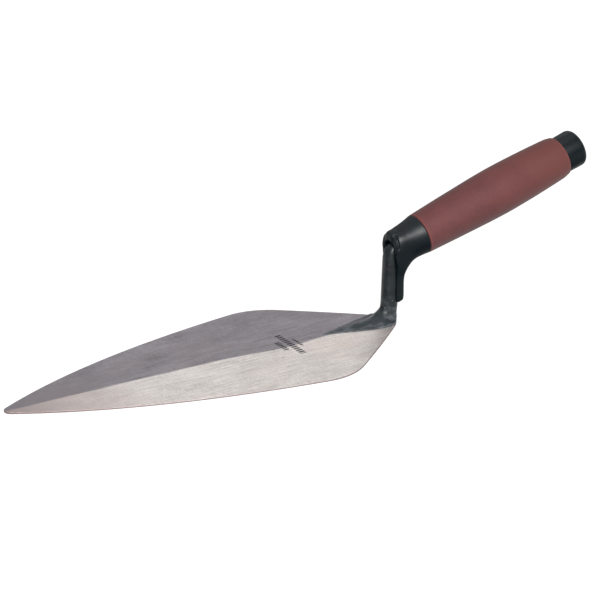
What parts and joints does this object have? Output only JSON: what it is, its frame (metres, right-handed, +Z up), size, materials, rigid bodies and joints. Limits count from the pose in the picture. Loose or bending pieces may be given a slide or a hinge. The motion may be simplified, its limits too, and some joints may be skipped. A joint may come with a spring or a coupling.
{
  "type": "brick trowel",
  "caption": "Pointed bricklaying trowel: flat ground steel blade, forged cranked shank, soft grip handle with a moulded finger guard and a butt cap.",
  "frame": {"origin": "under the middle of the bounding box, on the plane of the blade's underside", "axes": "+X from the blade's point towards the handle's butt, +Z up out of the blade's upper face, +Y across the blade"},
  "size_m": [0.4214, 0.1236, 0.1034],
  "materials": {
    "ground_steel": "belt-ground, with fine lengthwise grinding lines",
    "black_lacquer": "thin satin black lacquer over a forged skin",
    "rigid_plastic": "moulded, hidden inside the grip",
    "soft_grip": "fine matt texture, muted red",
    "guard_rubber": "satin black moulding",
    "cap_plastic": "satin black moulding"
  },
  "bodies": {
    "root": {"blade": "ground_steel", "shank": "black_lacquer", "handle_core": "rigid_plastic", "grip_sleeve": "soft_grip", "finger_guard": "guard_rubber", "end_cap": "cap_plastic"}
  },
  "joints": []
}
